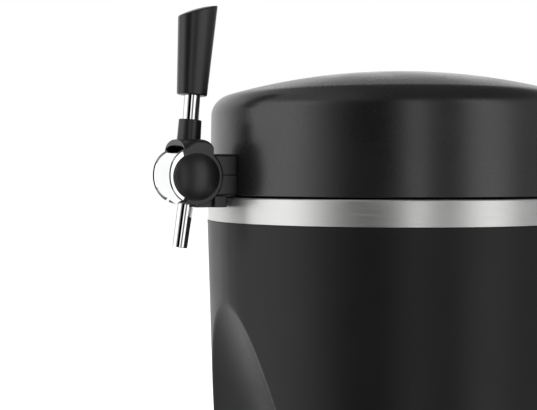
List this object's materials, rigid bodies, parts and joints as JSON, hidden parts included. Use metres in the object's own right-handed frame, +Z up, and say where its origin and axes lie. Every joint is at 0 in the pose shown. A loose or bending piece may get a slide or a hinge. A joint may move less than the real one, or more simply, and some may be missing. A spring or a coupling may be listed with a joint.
{
  "type": "countertop keg beer dispenser",
  "caption": "Round insulated cabinet that cools a small keg, with a domed hinged lid, a lever tap with a leaning spout, an arched glass hollow, a drip tray and a rear cooling unit.",
  "frame": {"origin": "middle of the footprint at the height of the surface it stands on", "axes": "+Z up along the height; the tap and drip tray face -Y; +X is to the right of someone who faces the tap"},
  "size_m": [0.2812, 0.379, 0.4336],
  "materials": {
    "satin_black": "satin moulded black plastic",
    "gloss_black": "polished black plastic",
    "brushed_steel": "brushed along the round",
    "chrome": "polished chrome",
    "aluminium": "natural, lightly brushed",
    "steel": "plain zinc-plated",
    "rubber": "matt",
    "foam": "cut rigid foam",
    "ceramic": "white ceramic faces",
    "grey_plastic": "fine satin",
    "board": "solder resist",
    "clear_tube": "translucent hose"
  },
  "bodies": {
    "cabinet": {"outer_shell": "satin_black", "steel_band": "brushed_steel", "keg_well": "aluminium", "top_deck": "satin_black", "lid_gasket": "rubber", "foam_jacket": "foam", "base_plate": "satin_black", "tray_carrier": "satin_black", "rear_housing": "satin_black", "cold_block": "aluminium", "cooler_module": "ceramic", "heat_sink": "aluminium", "fan_frame": "grey_plastic", "temperature_sensor": "grey_plastic", "control_board": "board", "power_inlet": "gloss_black", "switch_bezel": "gloss_black", "hinge_bracket": "satin_black", "hinge_pin": "steel", "foot_1": "rubber", "foot_2": "rubber", "foot_3": "rubber", "foot_4": "rubber", "front_foot_1": "rubber", "front_foot_2": "rubber", "base_screw_1": "steel", "base_screw_2": "steel", "base_screw_3": "steel", "base_screw_4": "steel", "base_screw_5": "steel", "housing_screw_1": "steel", "housing_screw_2": "steel", "housing_screw_3": "steel", "housing_screw_4": "steel"},
    "fan_rotor": {"fan_rotor": "grey_plastic"},
    "power_switch": {"power_switch": "gloss_black"},
    "drip_tray": {"drip_tray": "satin_black"},
    "drip_grille": {"drip_grille": "brushed_steel"},
    "lid": {"lid_shell": "satin_black", "lid_liner": "grey_plastic", "lid_foam": "foam", "lid_hinge_leaf": "satin_black", "coupler_body": "grey_plastic", "coupler_seal": "rubber", "beer_line": "clear_tube", "tap_shank": "steel", "shank_nut": "steel", "block_upper": "satin_black", "block_lower": "satin_black", "tap_body": "gloss_black", "tap_shroud": "chrome", "spout": "chrome"},
    "lid_latch": {"lid_latch": "satin_black"},
    "tap_lever": {"valve_plug": "steel", "lever_yoke": "gloss_black", "lever_cap_right": "gloss_black", "lever_cap_left": "gloss_black", "lever_sleeve": "satin_black", "lever_rod": "chrome", "lever_grip": "satin_black"}
  },
  "joints": [
    {"name": "lid_hinge", "type": "hinge", "parent": "cabinet", "child": "lid", "pos_m": [0, 0.1745, 0.3045], "axis": [-1, 0, 0], "range_deg": [0, 95]},
    {"name": "tap_lever_pull", "type": "hinge", "parent": "lid", "child": "tap_lever", "pos_m": [0, -0.1421, 0.3146], "axis": [1, 0, 0], "range_deg": [0, 40]},
    {"name": "lid_latch_press", "type": "hinge", "parent": "lid", "child": "lid_latch", "pos_m": [0, -0.1235, 0.2964], "axis": [1, 0, 0], "range_deg": [0, 8], "stiffness_Nm_per_rad": 0.2},
    {"name": "tray_lift", "type": "slide", "parent": "cabinet", "child": "drip_tray", "axis": [0, 0, 1], "range_m": [0, 0.04]},
    {"name": "grille_lift", "type": "slide", "parent": "drip_tray", "child": "drip_grille", "axis": [0, 0, 1], "range_m": [0, 0.03]},
    {"name": "fan_spin", "type": "hinge", "parent": "cabinet", "child": "fan_rotor", "pos_m": [0, 0.1645, 0.16], "axis": [0, 1, 0], "continuous": true},
    {"name": "power_rocker", "type": "hinge", "parent": "cabinet", "child": "power_switch", "pos_m": [0.024, 0.1815, 0.06], "axis": [1, 0, 0], "range_deg": [0, 14]}
  ]
}
